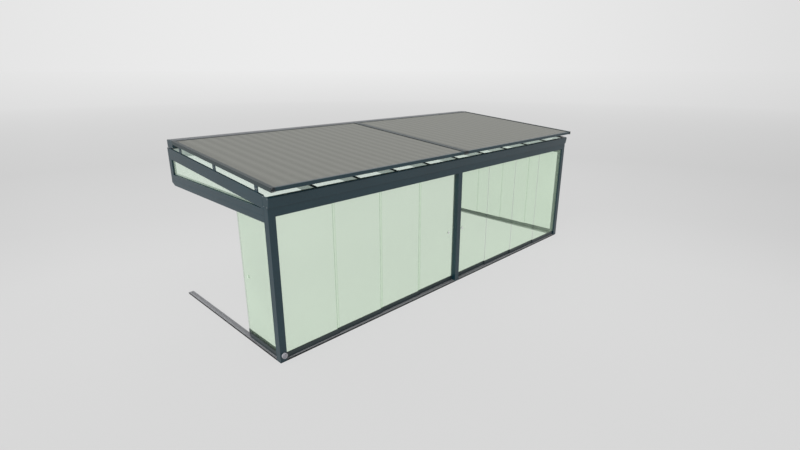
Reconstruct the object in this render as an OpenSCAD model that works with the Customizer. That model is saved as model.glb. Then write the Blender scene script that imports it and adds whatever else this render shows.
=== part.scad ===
// Lean-to patio roof: glass roof on sloping rafters, carried by a wall profile at the back
// and three posts at the front, with an awning on top and sliding glass walls below.
// The origin lies on the wall profile's back face, at its middle. +Y points into the wall.

/* [Overall] */
// Length along the wall
width = 8000; // [6000:100:9000]
// From the wall plane to the front face of the posts
depth = 3190; // [2600:10:4000]
// Clear height under the front beam
passage_h = 2175; // [2000:5:2500]
// Slope of the roof in degrees
roof_pitch = 5.1; // [4:0.1:8]
// Number of glass fields in the roof, an even number
roof_fields = 10; // [6:2:14]

/* [Posts] */
// Side of the square posts
post_w = 110; // [100:5:160]

/* [Gutter beam] */
// Height of the top tracks under the gutter
front_track_h = 130; // [90:5:160]
// Height of the gutter, from the post tops to the roof's front edge
gutter_h = 150; // [140:5:200]
// How far the gutter's foot stands in front of the posts
gutter_foot = 15; // [5:1:25]
// How far the gutter's face leans out from its foot to its top
gutter_lean = 19; // [5:1:30]
// Depth of the hollow front chamber beside the trough
gutter_chamber = 38; // [30:1:45]
// Wall thickness of the gutter's floor and back
gutter_t = 6; // [3:1:10]
// Radius of the gutter's top front edge
gutter_round = 26; // [10:1:30]
// Thickness of the gutter's end caps
gutter_cap_t = 5; // [3:1:8]

/* [Rafters] */
// Width of every rafter
rafter_w = 60; // [50:1:80]
// Vertical height of the two side rafters
side_rafter_h = 183; // [170:1:220]
// Vertical height of the inner rafters, below the glass
inner_rafter_h = 105; // [70:1:110]
// Height of the side rafter's upstand beside the glass
upstand_h = 30; // [20:1:40]
// Width of that upstand
upstand_w = 30; // [20:1:40]

/* [Wall profile] */
// Depth of the profile that is bolted to the wall
wall_profile_d = 60; // [40:1:90]
// Height of the profile, below the top of the roof
wall_profile_h = 184; // [170:1:220]
// Thickness of its upstand behind the glass
wall_upstand_t = 10; // [6:1:15]

/* [Roof glass] */
// Thickness of the roof glass
roof_glass_t = 10; // [8:1:12]
// Joint between two panes, on the middle of a rafter
pane_joint = 16; // [8:1:30]
// Gap between a pane and the upstand beside it
pane_gap = 2; // [1:0.5:6]
// Pressed gasket between two pieces that meet along the slope
bedding = 0.3; // [0.2:0.1:0.8]
// Height of the cover strips that clamp the panes
strip_h = 15; // [8:1:20]
// How far the panes reach over the gutter's back edge
glass_overhang = 50; // [30:1:60]

/* [Side walls] */
// Height of the beam over each side wall
header_h = 107; // [80:1:140]
// Height of the top track under that beam
side_track_h = 85; // [60:1:110]
// Thickness of the glass in the gables
gable_glass_t = 8; // [6:1:12]
// Distance of the gable glass from the outer face
gable_glass_inset = 26; // [15:1:30]
// From the post to the thin end of the gable glass
gable_toe = 20; // [5:5:80]
// Width of the upright at the wall end of each gable
gable_post_w = 115; // [60:1:150]
// Length of the slanting cut under the wall end of each top track
track_cut_l = 106; // [40:1:150]
// Height of that cut
track_cut_h = 50; // [20:1:58]

/* [Sliding walls] */
// Height of the floor tracks
floor_track_h = 27; // [20:1:40]
// Width of the grooves between the lanes of a floor track
groove_w = 4; // [3:0.5:5]
// Depth of those grooves
groove_d = 7; // [4:1:12]
// From the outer face to the middle of the first lane
lane_first = 35; // [20:0.5:42]
// From one lane to the next
lane_pitch = 15.5; // [15:0.1:18.6]
// From the middle of the last lane to the inner edge of the tracks
lane_last = 10.5; // [9:0.5:14]
// Thickness of the sliding glass
pane_t = 8; // [6:0.5:10]
// Thickness of the panels' bottom rails
rail_t = 10; // [8:0.5:12]
// Height of the bottom rails
bottom_rail_h = 85; // [60:1:120]
// Width of the channels in the top tracks
channel_w = 12.5; // [10.5:0.5:13]
// Depth of those channels
channel_d = 36; // [30:1:50]
// How far the glass reaches up into its channel
glass_entry = 28; // [15:1:28]
// Overlap of two closed panels
panel_overlap = 30; // [15:1:60]
// From the outer panels to the posts and to the wall plane
end_gap = 5; // [5:1:15]
// How far each stacked panel stands out past the next
stack_step = 45; // [20:1:60]
// Running gap under a bottom rail
running_gap = 0.3; // [0.2:0.1:0.8]

/* [Awning] */
// Clear height between the rafters and the guide rails
awning_lift = 88; // [60:1:120]
// Width of a guide rail
guide_w = 60; // [45:1:70]
// Height of a guide rail
guide_h = 62; // [50:1:75]
// Distance of the outer guide rails from the roof's ends
guide_inset = 8; // [2:1:9]
// How far the rails reach in front of the posts
awning_overhang = 116; // [60:1:200]
// Width of the groove along the double rail in the middle
centre_groove_w = 10; // [6:1:20]
// Depth of that groove
centre_groove_d = 12; // [6:1:20]
// Thickness of the cloth's solid
cloth_t = 3; // [1:0.5:4]
// Depth of the cloth below the top of the rails
cloth_drop = 12; // [8:1:20]
// Height of the front bars
bar_h = 56; // [40:1:60]
// Depth of the front bars
bar_d = 56; // [40:1:70]
// How far the front bars stand behind the rails' ends
bar_setback = 4; // [0:1:10]
// Depth of the cassette along the slope
cassette_d = 215; // [180:1:240]
// Gap between the top of the roof and the cassette, at its back
cassette_clear = 8; // [3:1:20]
// Gap between the cassette and the wall plane
cassette_gap = 10; // [5:1:20]
// Radius of the cassette's top edges
cassette_round = 22; // [10:1:35]
// Rise of the cassette above the top of the rails
cassette_rise = 6; // [2:1:15]

/* [Awning brackets] */
// Length of a bracket along the rafter
bracket_l = 62; // [40:1:90]
// Thickness of a bracket on a side rafter
bracket_t = 20; // [12:1:20]
// Thickness of a bracket on the middle rafter
middle_bracket_t = 40; // [30:1:50]
// From the post front to the middle of the first bracket
bracket_first = 265; // [200:5:400]
// From the cassette's front to the middle of the last bracket
bracket_last = 290; // [150:5:400]
// Brackets under each rail
brackets = 3; // [2:1:5]

/* [Drain] */
// Radius of the drain outlet on the left post
drain_r = 42; // [30:1:45]
// Length of the outlet in front of the post
drain_l = 30; // [15:1:60]
// Height of the outlet's middle above the floor
drain_z = 107; // [80:1:200]
// From the post's outer edge to the outlet's middle
drain_x = 63; // [46:1:65]

/* [Hidden] */

// Panels in each wall
panels = 4;
// How far a cutting shape reaches past what it cuts
cut = 1;

// Heights above the floor, and the slope. y is counted from the posts' front face here.
beam_z = passage_h + front_track_h;
roof_front_z = beam_z + gutter_h;
function roof(y) = roof_front_z + y * tan(roof_pitch);
glass_top = -upstand_h;
glass_under = glass_top - roof_glass_t;
glass_seat = glass_under - bedding;
strip_top = glass_top + strip_h;
gable_top = -side_rafter_h - bedding;
header_top = roof(post_w) - side_rafter_h;
side_track_top = header_top - header_h;
side_track_z = side_track_top - side_track_h;
wall_z0 = roof(depth) - wall_profile_h;
wall_mid_z = (wall_z0 + roof(depth)) / 2;

// Places across the width, from the middle.
half = width / 2;
bay_outer = half - post_w;
bay_inner = post_w / 2;
pane_pitch = (width - rafter_w) / roof_fields;

// Places from front to back.
glass_front_y = post_w - glass_overhang;
glass_back_y = depth - wall_upstand_t;
rafter_back_y = depth - wall_profile_d;
cassette_y = depth - cassette_gap - cassette_d;
cassette_top = roof(cassette_y) + awning_lift + guide_h + cassette_rise;
cassette_z = roof(cassette_y + cassette_d) + cassette_clear;
bar_y = bar_setback - awning_overhang;
bar_z = roof(bar_y + bar_d / 2) + awning_lift;
foot_y = depth - cassette_gap - cassette_d / 2;

// Sliding panels. The front bays and the side bays differ in width and height.
rail_z = floor_track_h + running_gap;
front_pane_w = (bay_outer - bay_inner - 2 * end_gap + (panels - 1) * panel_overlap) / panels;
side_pane_w = (depth - post_w - 2 * end_gap + (panels - 1) * panel_overlap) / panels;
front_step = front_pane_w - panel_overlap;
side_step = side_pane_w - panel_overlap;
front_pane_top = passage_h + glass_entry;
side_pane_top = side_track_z + glass_entry;
function lane(k) = lane_first + (k - 1) * lane_pitch;
track_w = lane(panels) + lane_last;

dark = [0.21, 0.25, 0.27];
alloy = [0.55, 0.55, 0.57];
glass = [0.77, 0.86, 0.76, 0.5];
cloth = [0.56, 0.56, 0.54];

// Moves the floor-based layout into the part's own frame.
module placed() {
    translate([0, -depth, -wall_mid_z]) children();
}

// An outline in the Y-Z plane, extruded along X from x0 over w.
module side_outline(x0, w, points) {
    translate([x0, 0, 0])
        rotate([90, 0, 90])
            linear_extrude(w) polygon(points);
}

// A bar that follows the roof: from y0 to y1, between two heights above the roof's surface.
module slope_bar(x0, w, y0, y1, low, high) {
    side_outline(x0, w, [
        [y0, roof(y0) + low], [y1, roof(y1) + low],
        [y1, roof(y1) + high], [y0, roof(y0) + high]
    ]);
}

// A block from its lowest corner and its size.
module block(corner, size) {
    translate(corner) cube(size);
}

// The right-hand twin of what is drawn on the left.
module right_hand() {
    mirror([1, 0, 0]) children();
}

// Points of an arc around c, from angle a0 to a1.
function arc(c, r, a0, a1, steps) =
    [for (i = [0:steps]) c + r * [cos(a0 + (a1 - a0) * i / steps), sin(a0 + (a1 - a0) * i / steps)]];

// The gutter's outer face, from its foot up over the rounded top edge.
function gutter_face() = concat(
    [[-gutter_foot, beam_z]],
    arc([-gutter_foot - gutter_lean + gutter_round, roof_front_z - gutter_round],
        gutter_round, 180, 90, 6)
);

module wall_profile() {
    color(dark) placed() side_outline(rafter_w - half, width - 2 * rafter_w, [
        [rafter_back_y, wall_z0], [depth, wall_z0], [depth, roof(depth)],
        [glass_back_y, roof(depth)], [glass_back_y, roof(glass_back_y) + glass_seat],
        [rafter_back_y, roof(rafter_back_y) + glass_seat]
    ]);
}

module gutter() {
    inner = gutter_chamber - gutter_foot;
    color(dark) placed() side_outline(gutter_cap_t - half, width - 2 * gutter_cap_t, concat(
        gutter_face(),
        [
            [inner, roof_front_z], [inner, beam_z + gutter_t],
            [post_w - gutter_t, beam_z + gutter_t],
            [post_w - gutter_t, roof(post_w - gutter_t) + glass_seat],
            [post_w, roof(post_w) + glass_seat], [post_w, beam_z]
        ]
    ));
}

module gutter_cap() {
    side_outline(-half, gutter_cap_t, concat(
        gutter_face(),
        [[0, roof(0)], [post_w, roof(post_w)], [post_w, beam_z]]
    ));
}

module gutter_caps() {
    color(dark) placed() {
        gutter_cap();
        right_hand() gutter_cap();
    }
}

module post(x0) {
    color(dark) placed() block([x0, 0, 0], [post_w, post_w, beam_z]);
}

module post_left() {
    post(-half);
}

module post_middle() {
    post(-post_w / 2);
}

module post_right() {
    post(half - post_w);
}

// A side rafter: its upstand outside, and a lower ledge inside that carries the glass.
module side_rafter() {
    color(dark) placed() union() {
        slope_bar(-half, upstand_w, post_w, depth, -side_rafter_h, 0);
        slope_bar(upstand_w - half, rafter_w - upstand_w, post_w, depth, -side_rafter_h, glass_seat);
    }
}

module rafter_left() {
    side_rafter();
}

module rafter_right() {
    right_hand() side_rafter();
}

module inner_rafters() {
    color(dark) placed() for (i = [1:roof_fields - 1])
        slope_bar(i * pane_pitch - half, rafter_w, post_w, rafter_back_y,
            glass_seat - inner_rafter_h, glass_seat);
}

module roof_glass() {
    edge = upstand_w - rafter_w / 2 + pane_gap;
    color(glass) placed() for (i = [0:roof_fields - 1]) {
        near = i == 0 ? edge : pane_joint / 2;
        far = i == roof_fields - 1 ? edge : pane_joint / 2;
        slope_bar(rafter_w / 2 - half + i * pane_pitch + near, pane_pitch - near - far,
            glass_front_y, glass_back_y, glass_under, glass_top);
    }
}

module cover_strips() {
    color(dark) placed() for (i = [1:roof_fields - 1])
        slope_bar(i * pane_pitch - half, rafter_w, glass_front_y, glass_back_y,
            glass_top + bedding, strip_top);
}

// The cross-section of a top track, with a channel over each lane: x is across the lanes.
module top_track_section(h) {
    difference() {
        square([track_w, h]);
        for (k = [1:panels])
            translate([lane(k) - channel_w / 2, -cut]) square([channel_w, channel_d + cut]);
    }
}

// The cross-section of a floor track, with a groove between each pair of lanes.
module floor_track_section() {
    difference() {
        square([track_w, floor_track_h]);
        for (k = [1:panels - 1])
            translate([lane(k) + lane_pitch / 2 - groove_w / 2, floor_track_h - groove_d])
                square([groove_w, groove_d + cut]);
    }
}

// Extrudes a track's section along X, with the section's x running back from the front.
module along_front(x0, l) {
    translate([x0, 0, 0]) rotate([90, 0, 90]) linear_extrude(l) children();
}

// Extrudes a track's section along Y, with the section's x running in from the left end.
module along_side(y0, l) {
    translate([-half, y0 + l, 0]) rotate([90, 0, 0]) linear_extrude(l) children();
}

module front_track_left() {
    color(dark) placed() translate([0, 0, passage_h])
        along_front(-bay_outer, bay_outer - bay_inner) top_track_section(front_track_h);
}

module front_track_right() {
    color(dark) placed() translate([0, 0, passage_h])
        along_front(bay_inner, bay_outer - bay_inner) top_track_section(front_track_h);
}

module side_header() {
    color(dark) placed()
        block([-half, post_w, side_track_top], [track_w, depth - post_w, header_h]);
}

module side_header_left() {
    side_header();
}

module side_header_right() {
    right_hand() side_header();
}

// The top track of a side wall, cut to a slant under its wall end.
module side_track() {
    color(dark) placed() difference() {
        translate([0, 0, side_track_z])
            along_side(post_w, depth - post_w) top_track_section(side_track_h);
        side_outline(-half - cut, track_w + 2 * cut, [
            [depth - track_cut_l, side_track_z], [depth - track_cut_l, side_track_z - cut],
            [depth + cut, side_track_z - cut], [depth + cut, side_track_z + track_cut_h],
            [depth, side_track_z + track_cut_h]
        ]);
    }
}

module side_track_left() {
    side_track();
}

module side_track_right() {
    right_hand() side_track();
}

// The wedge of glass between a side header and the rafter above it.
module gable_pane() {
    front = post_w + gable_toe;
    back = depth - gable_post_w;
    side_outline(gable_glass_inset - half, gable_glass_t, [
        [front, header_top], [back, header_top],
        [back, roof(back) + gable_top], [front, roof(front) + gable_top]
    ]);
}

module gable_glass() {
    color(glass) placed() {
        gable_pane();
        right_hand() gable_pane();
    }
}

module gable_upright() {
    front = depth - gable_post_w;
    side_outline(-half, rafter_w, [
        [front, header_top], [depth, header_top],
        [depth, roof(depth) + gable_top], [front, roof(front) + gable_top]
    ]);
}

module gable_posts() {
    color(dark) placed() {
        gable_upright();
        right_hand() gable_upright();
    }
}

module floor_track_front_left() {
    color(alloy) placed() along_front(-bay_outer, bay_outer - bay_inner) floor_track_section();
}

module floor_track_front_right() {
    color(alloy) placed() along_front(bay_inner, bay_outer - bay_inner) floor_track_section();
}

module floor_track_left() {
    color(alloy) placed() along_side(post_w, depth - post_w) floor_track_section();
}

module floor_track_right() {
    color(alloy) placed() right_hand() along_side(post_w, depth - post_w) floor_track_section();
}

// A rounded box over the wall end of the roof, into which the cloth rolls.
module awning_cassette() {
    r = cassette_round;
    y1 = cassette_y + cassette_d;
    color(dark) placed() side_outline(guide_inset - half, width - 2 * guide_inset, concat(
        [[y1, cassette_z], [cassette_y, cassette_z]],
        arc([cassette_y + r, cassette_top - r], r, 180, 90, 6),
        arc([y1 - r, cassette_top - r], r, 90, 0, 6)
    ));
}

module outer_guide_rail() {
    color(dark) placed() slope_bar(guide_inset - half, guide_w, -awning_overhang, cassette_y,
        awning_lift, awning_lift + guide_h);
}

module guide_rail_left() {
    outer_guide_rail();
}

module guide_rail_right() {
    right_hand() outer_guide_rail();
}

// Two rails side by side, with a groove between them.
module guide_rail_middle() {
    top = awning_lift + guide_h;
    color(dark) placed() difference() {
        slope_bar(-guide_w, 2 * guide_w, -awning_overhang, cassette_y, awning_lift, top);
        slope_bar(-centre_groove_w / 2, centre_groove_w, -awning_overhang - cut, cassette_y + cut,
            top - centre_groove_d, top + cut);
    }
}

// The brackets along one rafter: some under the rail, and one foot under the cassette.
module bracket_row(x0, t, low) {
    last = cassette_y - bracket_last;
    for (i = [0:brackets - 1]) {
        y = bracket_first + i * (last - bracket_first) / (brackets - 1);
        slope_bar(x0, t, y - bracket_l / 2, y + bracket_l / 2, low, awning_lift - bedding);
    }
    side_outline(x0, t, [
        [foot_y - bracket_l / 2, roof(foot_y - bracket_l / 2) + low],
        [foot_y + bracket_l / 2, roof(foot_y + bracket_l / 2) + low],
        [foot_y + bracket_l / 2, cassette_z], [foot_y - bracket_l / 2, cassette_z]
    ]);
}

module awning_brackets() {
    color(dark) placed() {
        bracket_row(guide_inset - half, bracket_t, bedding);
        bracket_row(-middle_bracket_t / 2, middle_bracket_t, strip_top + bedding);
        right_hand() bracket_row(guide_inset - half, bracket_t, bedding);
    }
}

module awning_cloth() {
    top = awning_lift + guide_h - cloth_drop;
    x0 = guide_inset + guide_w - half;
    color(cloth) placed()
        slope_bar(x0, -guide_w - x0, bar_y + bar_d, cassette_y, top - cloth_t, top);
}

module awning_cloth_left() {
    awning_cloth();
}

module awning_cloth_right() {
    right_hand() awning_cloth();
}

module front_bar() {
    x0 = guide_inset + guide_w - half;
    color(dark) placed() block([x0, bar_y, bar_z], [-guide_w - x0, bar_d, bar_h]);
}

module front_bar_left() {
    front_bar();
}

module front_bar_right() {
    right_hand() front_bar();
}

module drain_outlet() {
    color(alloy) placed() translate([drain_x - half, 0, drain_z])
        rotate([90, 0, 0]) cylinder(r = drain_r, h = drain_l, $fn = 64);
}

// One panel: bottom rail and glass. u runs along its wall, v across the lanes.
module front_panel(k, x) {
    block([x, lane(k) - rail_t / 2, rail_z], [front_pane_w, rail_t, bottom_rail_h]);
    block([x, lane(k) - pane_t / 2, rail_z + bottom_rail_h],
        [front_pane_w, pane_t, front_pane_top - rail_z - bottom_rail_h]);
}

module side_panel(k, y) {
    block([lane(k) - rail_t / 2 - half, y, rail_z], [rail_t, side_pane_w, bottom_rail_h]);
    block([lane(k) - pane_t / 2 - half, y, rail_z + bottom_rail_h],
        [pane_t, side_pane_w, side_pane_top - rail_z - bottom_rail_h]);
}

// Panel k of a closed front bay: panel 1 stands at the outer post, on the outer lane.
module closed_front_panel(k) {
    color(glass) placed()
        front_panel(k, end_gap - bay_outer + (k - 1) * front_step);
}

// Panel k of the open left wall, pushed up to the front post.
module stacked_side_panel(k) {
    color(glass) placed()
        side_panel(k, post_w + end_gap + (k - 1) * stack_step);
}

// Panel k of the closed right wall, drawn on the left.
module closed_side_panel(k) {
    color(glass) placed()
        side_panel(k, post_w + end_gap + (k - 1) * side_step);
}

module fixed_panels() {
    closed_front_panel(1);
    right_hand() closed_front_panel(1);
    stacked_side_panel(1);
    right_hand() closed_side_panel(1);
}

wall_profile();
gutter();
gutter_caps();
post_left();
post_middle();
post_right();
rafter_left();
rafter_right();
inner_rafters();
roof_glass();
cover_strips();
front_track_left();
front_track_right();
side_header_left();
side_header_right();
side_track_left();
side_track_right();
gable_glass();
gable_posts();
floor_track_front_left();
floor_track_front_right();
floor_track_left();
floor_track_right();
awning_cassette();
guide_rail_left();
guide_rail_middle();
guide_rail_right();
awning_brackets();
awning_cloth_left();
awning_cloth_right();
front_bar_left();
front_bar_right();
drain_outlet();
fixed_panels();
closed_front_panel(2);  // front_left_panel_2
closed_front_panel(3);  // front_left_panel_3
closed_front_panel(4);  // front_left_panel_4
right_hand() closed_front_panel(2);  // front_right_panel_2
right_hand() closed_front_panel(3);  // front_right_panel_3
right_hand() closed_front_panel(4);  // front_right_panel_4
stacked_side_panel(2);  // left_panel_2
stacked_side_panel(3);  // left_panel_3
stacked_side_panel(4);  // left_panel_4
right_hand() closed_side_panel(2);  // right_panel_2
right_hand() closed_side_panel(3);  // right_panel_3
right_hand() closed_side_panel(4);  // right_panel_4
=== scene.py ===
"""Looks of the lean-to patio roof: coated aluminium profiles, tinted glass, an awning of woven
cloth and twelve sliding glass panels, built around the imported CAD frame.

Sizes are in millimetres in the site's layout: x from the middle of the roof, y back from the
posts' front face and z up from the floor. at() turns them into metres in the row's frame.
"""

import math

import bmesh
import bpy
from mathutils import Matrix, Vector


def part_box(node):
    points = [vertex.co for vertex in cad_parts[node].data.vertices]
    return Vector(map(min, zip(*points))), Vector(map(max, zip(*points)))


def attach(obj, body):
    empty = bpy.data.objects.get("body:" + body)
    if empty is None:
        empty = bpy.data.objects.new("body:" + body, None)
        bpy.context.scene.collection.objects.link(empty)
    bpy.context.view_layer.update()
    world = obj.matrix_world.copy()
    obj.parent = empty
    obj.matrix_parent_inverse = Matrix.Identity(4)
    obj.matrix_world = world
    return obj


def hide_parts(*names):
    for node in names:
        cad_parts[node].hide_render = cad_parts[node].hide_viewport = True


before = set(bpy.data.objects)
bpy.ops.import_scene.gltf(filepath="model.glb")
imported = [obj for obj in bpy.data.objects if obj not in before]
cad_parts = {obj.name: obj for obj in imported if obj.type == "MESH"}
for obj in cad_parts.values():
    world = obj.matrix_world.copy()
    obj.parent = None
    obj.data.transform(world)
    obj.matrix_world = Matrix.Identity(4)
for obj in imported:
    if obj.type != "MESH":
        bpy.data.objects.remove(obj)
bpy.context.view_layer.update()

# ------------------------------------------------------------------ layout
MM = 0.001
SLOPE = math.tan(math.radians(5.1))
PANELS = 4
LANE_FIRST, LANE_PITCH = 35.0, 15.5
FIELDS = 10

low_post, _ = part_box("post_left")
FRONT_Y, FLOOR_Z = low_post.y, low_post.z


def at(x, y, z):
    """A point of the layout in the row's frame."""
    return Vector((x * MM, FRONT_Y + y * MM, FLOOR_Z + z * MM))


def span(node):
    """A CAD node's lowest and highest corner in the layout."""
    return [(p.x / MM, (p.y - FRONT_Y) / MM, (p.z - FLOOR_Z) / MM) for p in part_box(node)]


HALF = span("post_right")[1][0]
POST = span("post_left")[1][1]
BEAM_Z = span("post_left")[1][2]
DEPTH = span("wall_profile")[1][1]
ROOF_BACK = span("rafter_left")[1][2]
PASSAGE = span("front_track_left")[0][2]
TRACK_W = span("floor_track_left")[1][0] + HALF
RAFTER = 60.0
GLASS_T = 10.0
UPSTAND = 30.0
SEAT = -UPSTAND - GLASS_T - 0.3
FIELD = (2 * HALF - RAFTER) / FIELDS
LIFT = 88.0
RAIL_W, RAIL_H = 60.0, 62.0
CLOTH_Z = LIFT + RAIL_H - 12.0
CLOTH_SLOT = CLOTH_Z - 1.5
RAFTER_H = 183.0
GLASS_FRONT, GLASS_BACK = POST - 80, DEPTH - 10


def roof(y):
    return ROOF_BACK - (DEPTH - y) * SLOPE


def lane(k):
    return LANE_FIRST + (k - 1) * LANE_PITCH


# ------------------------------------------------------------------ materials
def srgb(*channels):
    """A display colour from 0 to 255 as a linear one."""
    values = [c / 255 for c in channels]
    return tuple(
        v / 12.92 if v <= 0.04045 else ((v + 0.055) / 1.055) ** 2.4 for v in values
    ) + (1.0,)


def scaled(colour, k):
    return tuple(min(1.0, c * k) for c in colour[:3]) + (1.0,)


class Paint:
    """A node material under construction."""

    def __init__(self, name):
        self.material = bpy.data.materials.new(name)
        self.material.use_nodes = True
        self.tree = self.material.node_tree
        self.tree.nodes.clear()

    def add(self, kind, inputs=None, **settings):
        node = self.tree.nodes.new("ShaderNode" + kind)
        for key, value in settings.items():
            setattr(node, key, value)
        for key, value in (inputs or {}).items():
            if isinstance(value, bpy.types.NodeSocket):
                self.tree.links.new(value, node.inputs[key])
            else:
                node.inputs[key].default_value = value
        return node

    def place(self, stretch=(1, 1, 1)):
        """Position on the piece in metres, stretched along its axes."""
        where = self.add("TexCoord").outputs["Object"]
        if stretch == (1, 1, 1):
            return where
        return self.add("Mapping", {"Vector": where, "Scale": stretch}).outputs[0]

    def noise(self, where, scale, detail=2.0, roughness=0.5):
        return self.add(
            "TexNoise",
            {"Vector": where, "Scale": scale, "Detail": detail, "Roughness": roughness},
        ).outputs["Fac"]

    def ramp(self, value, low, high, to_low=0.0, to_high=1.0):
        return self.add(
            "MapRange",
            {
                "Value": value,
                "From Min": low,
                "From Max": high,
                "To Min": to_low,
                "To Max": to_high,
            },
        ).outputs["Result"]

    def math(self, operation, a, b=0.0):
        return self.add("Math", {0: a, 1: b}, operation=operation).outputs[0]

    def mix(self, fac, a, b):
        return self.add("Mix", {0: fac, 6: a, 7: b}, data_type="RGBA").outputs[2]

    def bump(self, height, strength, distance, normal=None):
        inputs = {"Height": height, "Strength": strength, "Distance": distance}
        if normal is not None:
            inputs["Normal"] = normal
        return self.add("Bump", inputs).outputs[0]

    def grazing(self, power, strength):
        """0 where the surface is seen head-on, up to strength at its rim."""
        facing = self.add("LayerWeight", {"Blend": 0.5}).outputs["Facing"]
        return self.ramp(self.math("POWER", facing, power), 0, 1, 0, strength)

    # Reads the bevel faces that piece() flags; the materials paint them lighter as a painted edge
    # highlight.
    def painted_edge_highlight(self):
        return self.add(
            "Attribute", attribute_name="edge", attribute_type="GEOMETRY"
        ).outputs["Fac"]

    def surface(self, shader):
        output = self.add("OutputMaterial")
        self.tree.links.new(shader.outputs[0], output.inputs["Surface"])
        return self.material


def powder_coat(name, colour, roughness=0.30, specular=0.5):
    """Fine-textured powder coating: orange peel, slow clouding, edges painted lighter as a
    highlight.
    """
    p = Paint(name)
    where = p.place()
    cloud = p.noise(where, 1.3, 4)
    peel = p.noise(where, 650, 2)
    grit = p.noise(where, 190, 3)
    base = p.mix(p.ramp(cloud, 0.3, 0.7), scaled(colour, 0.9), scaled(colour, 1.12))
    base = p.mix(p.ramp(grit, 0.60, 0.78, 0, 0.35), base, scaled(colour, 1.5))
    # painted highlight: the bevelled edges lighter
    base = p.mix(p.math("MULTIPLY", p.painted_edge_highlight(), 0.45), base, scaled(colour, 2.1))
    shader = p.add(
        "BsdfPrincipled",
        {
            "Base Color": base,
            "Roughness": p.ramp(grit, 0.3, 0.7, roughness - 0.06, roughness + 0.08),
            "Specular IOR Level": specular,
            "Normal": p.bump(peel, 0.22, 0.0004),
        },
    )
    return p.surface(shader)


def brushed(name, colour, stretch, metallic=0.55, roughness=0.42, lines=0.25):
    """Drawn or brushed metal with fine lines along its length."""
    p = Paint(name)
    drawn = p.noise(p.place(stretch), 1.0, 3)
    cloud = p.noise(p.place(), 2.1, 3)
    base = p.mix(p.ramp(drawn, 0.3, 0.7), scaled(colour, 0.84), scaled(colour, 1.14))
    base = p.mix(p.ramp(cloud, 0.35, 0.7, 0, 0.35), base, scaled(colour, 0.86))
    # painted highlight: the bevelled edges lighter
    base = p.mix(p.math("MULTIPLY", p.painted_edge_highlight(), 0.4), base, scaled(colour, 1.5))
    shader = p.add(
        "BsdfPrincipled",
        {
            "Base Color": base,
            "Metallic": metallic,
            "Roughness": p.ramp(drawn, 0.2, 0.8, roughness - 0.08, roughness + 0.1),
            "Normal": p.bump(drawn, lines, 0.0003),
        },
    )
    return p.surface(shader)


def moulded(name, colour, roughness=0.6, grain=420, depth=0.2, specular=0.3):
    """Moulded plastic or extruded rubber."""
    p = Paint(name)
    where = p.place()
    fine = p.noise(where, grain, 2)
    cloud = p.noise(where, 6, 3)
    base = p.mix(p.ramp(cloud, 0.3, 0.7), scaled(colour, 0.86), scaled(colour, 1.14))
    # painted highlight: the bevelled edges lighter
    base = p.mix(p.math("MULTIPLY", p.painted_edge_highlight(), 0.3), base, scaled(colour, 1.5))
    shader = p.add(
        "BsdfPrincipled",
        {
            "Base Color": base,
            "Roughness": p.ramp(fine, 0.3, 0.7, roughness - 0.07, roughness + 0.07),
            "Specular IOR Level": specular,
            "Normal": p.bump(fine, depth, 0.0004),
        },
    )
    return p.surface(shader)


def window(name, tint, haze, head_on=0.02, grazing=0.5, painted_sky_glow=0.0):
    """A face of a tinted pane: it passes tint, and mirrors more at a grazing angle.
    haze is the colour of the faint film that rain and dust leave; the last argument is the strength
    of an emission in haze's colour, a painted reflection of the pale sky that glows even in the
    awning's shade."""
    p = Paint(name)
    where = p.place()
    film = p.noise(where, 0.8, 4)
    drops = p.noise(where, 60, 2)
    clear = p.add(
        "BsdfTransparent",
        {"Color": p.mix(p.ramp(film, 0.3, 0.7), scaled(tint, 0.992), tint)},
    )
    shine = p.add(
        "BsdfPrincipled",
        {
            "Base Color": p.mix(p.ramp(film, 0.3, 0.7), haze, scaled(haze, 1.1)),
            "Roughness": p.ramp(drops, 0.3, 0.8, 0.04, 0.10),
            "Specular IOR Level": 0.5,
        },
    )
    # a glow in the haze's colour: painted reflection of the pale sky, lit even where no light
    # reaches the pane
    if painted_sky_glow:
        painted_sky_emission = p.add("Emission", {"Color": haze, "Strength": painted_sky_glow})
        shine = p.add("AddShader", {0: shine.outputs[0], 1: painted_sky_emission.outputs[0]})
    fac = p.math("ADD", p.grazing(4.0, grazing - head_on), head_on)
    return p.surface(p.add("MixShader", {0: fac, 1: clear.outputs[0], 2: shine.outputs[0]}))


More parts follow.
